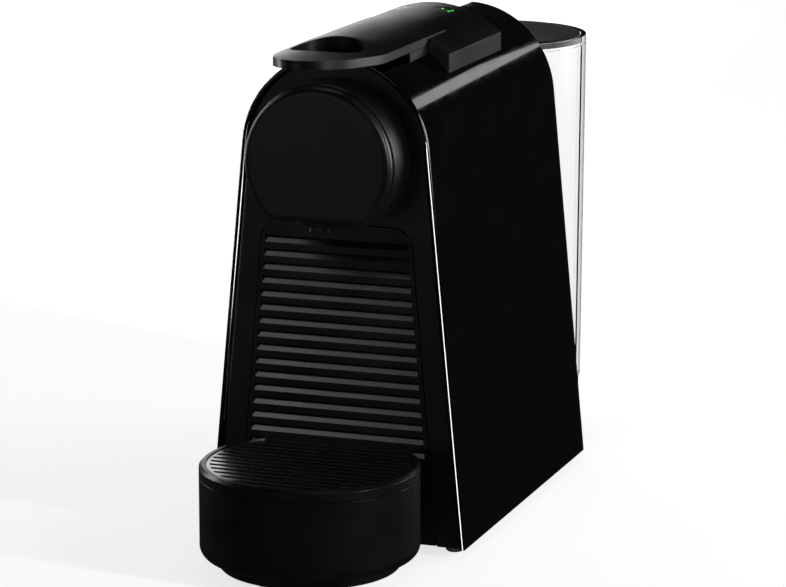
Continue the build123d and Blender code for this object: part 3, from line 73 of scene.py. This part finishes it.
def add_lights():
    softbox("overhead", 0, 86, 1.5, 0.8, 0.8, 0.9)
    softbox("shoulder", 20.4, 15.5, 2.02, 0.42, 0.14, 1.0)
    softbox("behind_left", -28, 4, 1.8, 0.8, 0.5, 2.6)
    softbox("behind_right", 50, 7, 1.6, 0.8, 0.6, 6.5)
    softbox("right_strip", 104, 16, 1.5, 0.09, 0.8, 34)
    softbox("left_strip", -74, 8, 1.5, 0.08, 1.0, 26)
    softbox("front_fill", -158, 6, 2.0, 0.9, 0.7, 0.5)
    # lights that reach only the pieces they are named for
    softbox("rim", 152, -6, 1.2, 0.6, 0.5, 26, only=("outer_casing",))
    softbox("ribs", -138, 34, 1.5, 0.6, 0.5, 5, only=("capsule_container", "cup_grid"))
    softbox("slats", -40, 20, 1.3, 1.0, 0.4, 3.2, only=("cup_grid",))


def add_backdrop():
    """Pale surroundings that the machine's black parts don't mirror."""
    world = bpy.data.worlds.new("studio")
    bpy.context.scene.world = world
    world.use_nodes = True
    tree = world.node_tree
    tree.nodes.clear()
    out = tree.nodes.new("ShaderNodeOutputWorld")
    mix = tree.nodes.new("ShaderNodeMixShader")
    dim, pale = (tree.nodes.new("ShaderNodeBackground") for _ in range(2))
    dim.inputs["Color"].default_value = (*DIM, 1)
    pale.inputs["Color"].default_value = (*PALE, 1)
    rays = tree.nodes.new("ShaderNodeLightPath")
    seen = tree.nodes.new("ShaderNodeMath")
    seen.operation = "MAXIMUM"
    tree.links.new(rays.outputs["Is Camera Ray"], seen.inputs[0])
    tree.links.new(rays.outputs["Is Transmission Ray"], seen.inputs[1])
    tree.links.new(seen.outputs[0], mix.inputs["Fac"])
    tree.links.new(dim.outputs[0], mix.inputs[1])
    tree.links.new(pale.outputs[0], mix.inputs[2])
    tree.links.new(mix.outputs[0], out.inputs["Surface"])


def add_floor():
    """Wide pale paper on which the machine stands."""
    mesh = bpy.data.meshes.new("floor")
    half = FLOOR_HALF
    corners = [(-half, -half, 0), (half, -half, 0), (half, half, 0), (-half, half, 0)]
    mesh.from_pydata(corners, [], [(0, 1, 2, 3)])
    floor = bpy.data.objects.new("floor", mesh)
    bpy.context.scene.collection.objects.link(floor)
    paper = principled("floor_paper", Base_Color=(0.8, 0.8, 0.8, 1), Roughness=0.9)
    shader = paper.node_tree.nodes["Principled BSDF"]
    shader.inputs["Emission Color"].default_value = (*PALE, 1)
    shader.inputs["Emission Strength"].default_value = 0.8
    mesh.materials.append(paper)
    floor.visible_glossy = False


# ---------------------------------------------------------------------------
# Material building blocks
# ---------------------------------------------------------------------------
def principled(name, **constants):
    """A Principled material whose even values sit on the shader's own sockets."""
    material = bpy.data.materials.new(name)
    material.use_nodes = True
    shader = material.node_tree.nodes["Principled BSDF"]
    for socket, value in constants.items():
        shader.inputs[socket.replace("_", " ")].default_value = value
    return material


def node(material, kind, **settings):
    """A new shader node. A setting goes to the input of that name, or else to the property."""
    made = material.node_tree.nodes.new(kind)
    for key, value in settings.items():
        if key in made.inputs:
            made.inputs[key].default_value = value
        else:
            setattr(made, key, value)
    return made


def link(material, source, target):
    material.node_tree.links.new(source, target)


def shader_of(material):
    return material.node_tree.nodes["Principled BSDF"]


def noise(material, size_mm, detail=2.0, stretch=(1, 1, 1)):
    """Noise of a real size, fixed to the piece. Returns its output socket."""
    place = node(material, "ShaderNodeTexCoord")
    scale = node(material, "ShaderNodeMapping", Scale=stretch)
    texture = node(material, "ShaderNodeTexNoise", Scale=1 / (size_mm * MM), Detail=detail)
    link(material, place.outputs["Object"], scale.inputs["Vector"])
    link(material, scale.outputs["Vector"], texture.inputs["Vector"])
    return texture.outputs["Fac"]


def spread(material, source, socket, low, high):
    """Lets a noise move one shader value between low and high."""
    ramp = node(material, "ShaderNodeMapRange")
    for key, value in (("From Min", 0.35), ("From Max", 0.65), ("To Min", low), ("To Max", high)):
        ramp.inputs[key].default_value = value
    link(material, source, ramp.inputs["Value"])
    link(material, ramp.outputs["Result"], shader_of(material).inputs[socket])


def tint(material, source, dark, light):
    """Lets a noise move the base colour between two close colours."""
    ramp = node(material, "ShaderNodeValToRGB")
    ramp.color_ramp.elements[0].position, ramp.color_ramp.elements[1].position = 0.35, 0.65
    ramp.color_ramp.elements[0].color = (*dark, 1)
    ramp.color_ramp.elements[1].color = (*light, 1)
    link(material, source, ramp.inputs["Fac"])
    link(material, ramp.outputs["Color"], shader_of(material).inputs["Base Color"])


def relief(material, source, height_mm, edge_mm=0.3, strength=1.0):
    """Surface texture of a real height over edges softened to a small radius."""
    bump = node(material, "ShaderNodeBump", Strength=strength, Distance=height_mm * MM)
    edge = node(material, "ShaderNodeBevel", samples=4, Radius=edge_mm * MM)
    link(material, source, bump.inputs["Height"])
    link(material, edge.outputs["Normal"], bump.inputs["Normal"])
    link(material, bump.outputs["Normal"], shader_of(material).inputs["Normal"])


PATCH_MM = 28  # size of the patches of a moulding that are slightly duller than the rest


def plastic(name, dark, light, smooth, rough, grain_mm, height_mm, **constants):
    """Moulded plastic: patchy shade and sheen with a fine grain over it."""
    material = principled(name, **constants)
    patches = noise(material, PATCH_MM, detail=4)
    tint(material, patches, dark, light)
    spread(material, patches, "Roughness", smooth, rough)
    relief(material, noise(material, grain_mm, detail=3), height_mm)
    return material


# ---------------------------------------------------------------------------
# The machine's materials
# ---------------------------------------------------------------------------
def gloss_shell():
    """Polished black moulding with a faint waviness."""
    material = principled("gloss_shell", Coat_Weight=0.6, Coat_Roughness=0.02, IOR=1.5)
    tint(material, noise(material, 35, detail=3), (0.0004, 0.0004, 0.0005), (0.0008, 0.0008, 0.0009))
    spread(material, noise(material, 12, detail=6), "Roughness", 0.05, 0.11)
    relief(material, noise(material, 9, detail=1), 0.004)
    return material


def satin_shell():
    return plastic("satin_shell", (0.0028, 0.003, 0.0036), (0.0042, 0.0045, 0.0052), 0.33, 0.41, 0.35, 0.008)


def drip_shell():
    return plastic("drip_shell", (0.0018, 0.002, 0.0025), (0.003, 0.0033, 0.004), 0.26, 0.33, 0.4, 0.006)


def black_moulding():
    dark, light = (0.0025, 0.0028, 0.0032), (0.0038, 0.0041, 0.0046)
    return plastic("black_moulding", dark, light, 0.5, 0.6, 0.5, 0.02, Specular_IOR_Level=0.2)


def clear_tank():
    """Clear moulded tank wall with a faint waviness."""
    material = principled("clear_tank", Base_Color=(0.97, 0.98, 0.98, 1), Transmission_Weight=1.0, IOR=1.49)
    spread(material, noise(material, 18, detail=4), "Roughness", 0.0, 0.03)
    relief(material, noise(material, 22, detail=1), 0.01, edge_mm=0.2)
    return material


def white_moulding():
    return plastic("white_moulding", (0.62, 0.62, 0.6), (0.7, 0.7, 0.68), 0.38, 0.48, 0.6, 0.01)


def rubber():
    return plastic("rubber", (0.02, 0.02, 0.02), (0.032, 0.032, 0.032), 0.7, 0.82, 0.3, 0.03)


def steel():
    """Brushed along the machine's length."""
    material = principled("steel", Metallic=1.0)
    tint(material, noise(material, 14, detail=4), (0.5, 0.5, 0.5), (0.6, 0.6, 0.6))
    streaks = noise(material, 0.5, detail=2, stretch=(1, 0.03, 1))
    spread(material, streaks, "Roughness", 0.22, 0.38)
    relief(material, streaks, 0.004)
    return material


def pump_body():
    return plastic("pump_body", (0.05, 0.055, 0.06), (0.07, 0.075, 0.08), 0.42, 0.55, 0.5, 0.02)


def heater():
    material = principled("heater", Metallic=1.0)
    tint(material, noise(material, 10, detail=5), (0.32, 0.32, 0.33), (0.46, 0.46, 0.47))
    spread(material, noise(material, 4, detail=4), "Roughness", 0.42, 0.62)
    relief(material, noise(material, 0.9, detail=4), 0.05)
    return material


def brass_fitting():
    material = principled("brass_fitting", Metallic=1.0)
    tint(material, noise(material, 6, detail=4), (0.52, 0.36, 0.13), (0.66, 0.48, 0.2))
    spread(material, noise(material, 2, detail=3), "Roughness", 0.24, 0.4)
    relief(material, noise(material, 0.4, detail=2), 0.006)
    return material


def circuit():
    return plastic("circuit", (0.008, 0.07, 0.03), (0.014, 0.1, 0.045), 0.3, 0.45, 1.2, 0.03)


def silicone():
    dark, light = (0.6, 0.6, 0.57), (0.68, 0.68, 0.65)
    return plastic("silicone", dark, light, 0.4, 0.55, 0.8, 0.02, Subsurface_Weight=0.2)


def light_guide():
    """Green light that is strongest in patches of the guide's core."""
    material = principled("light_guide", Base_Color=(0.02, 0.2, 0.03, 1), Emission_Color=(0.06, 0.8, 0.1, 1))
    spread(material, noise(material, 1.5), "Emission Strength", 1.6, 2.4)
    spread(material, noise(material, 0.5), "Roughness", 0.25, 0.4)
    return material


MATERIALS = (
    gloss_shell, satin_shell, drip_shell, black_moulding, clear_tank, white_moulding, rubber, steel,
    pump_body, heater, brass_fitting, circuit, silicone, light_guide,
)


def dress_frame():
    """Gives every CAD node the finish that the record names for it."""
    finishes = {make.__name__: make() for make in MATERIALS}
    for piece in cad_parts.values():
        for holder in piece.material_slots:
            holder.material = finishes[holder.material.name.split(".")[0]]


add_camera()
add_lights()
add_backdrop()
add_floor()
dress_frame()
bpy.context.scene.view_settings.view_transform = "Standard"
